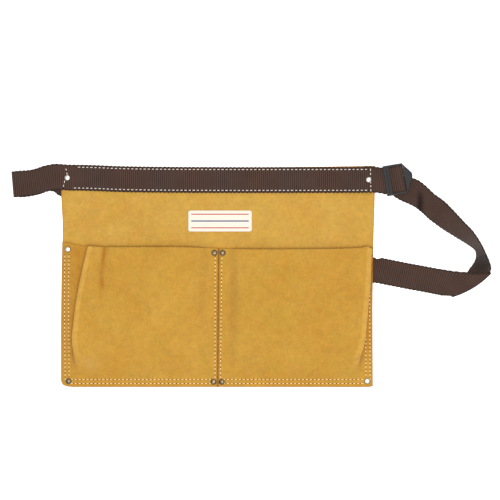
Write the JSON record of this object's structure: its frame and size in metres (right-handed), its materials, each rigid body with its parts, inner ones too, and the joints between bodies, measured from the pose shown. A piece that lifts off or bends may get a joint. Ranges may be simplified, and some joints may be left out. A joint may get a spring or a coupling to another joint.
{
  "type": "carpenter nail apron",
  "caption": "Leather nail apron with open pockets side by side on a back panel, and a webbing waist belt with an adjuster buckle, lying on its back.",
  "frame": {"origin": "middle of the back panel's underside, which lies on the floor", "axes": "+X to the right seen from the front, +Y up towards the waist belt, +Z out of the front, away from the floor"},
  "size_m": [0.4652, 0.2173, 0.026],
  "materials": {
    "leather": "golden tan split leather with a short suede nap",
    "webbing": "dark brown ribbed polypropylene webbing",
    "plastic": "moulded dark grey plastic, slightly glossy",
    "rivet_metal": "nickel-plated steel, polished heads",
    "label": "smooth woven patch, off white",
    "thread": "twisted cream sewing thread"
  },
  "bodies": {
    "root": {"back_panel": "leather", "left_pocket": "leather", "right_pocket": "leather", "belt": "webbing", "label": "label", "belt_rivet_left": "rivet_metal", "belt_rivet_right": "rivet_metal", "pocket_rivet_left_top": "rivet_metal", "pocket_rivet_left_bottom": "rivet_metal", "pocket_rivet_centre_top_left": "rivet_metal", "pocket_rivet_centre_top_right": "rivet_metal", "pocket_rivet_centre_bottom_left": "rivet_metal", "pocket_rivet_centre_bottom_right": "rivet_metal", "pocket_rivet_right_top": "rivet_metal", "pocket_rivet_right_bottom": "rivet_metal", "buckle": "plastic"}
  },
  "joints": []
}
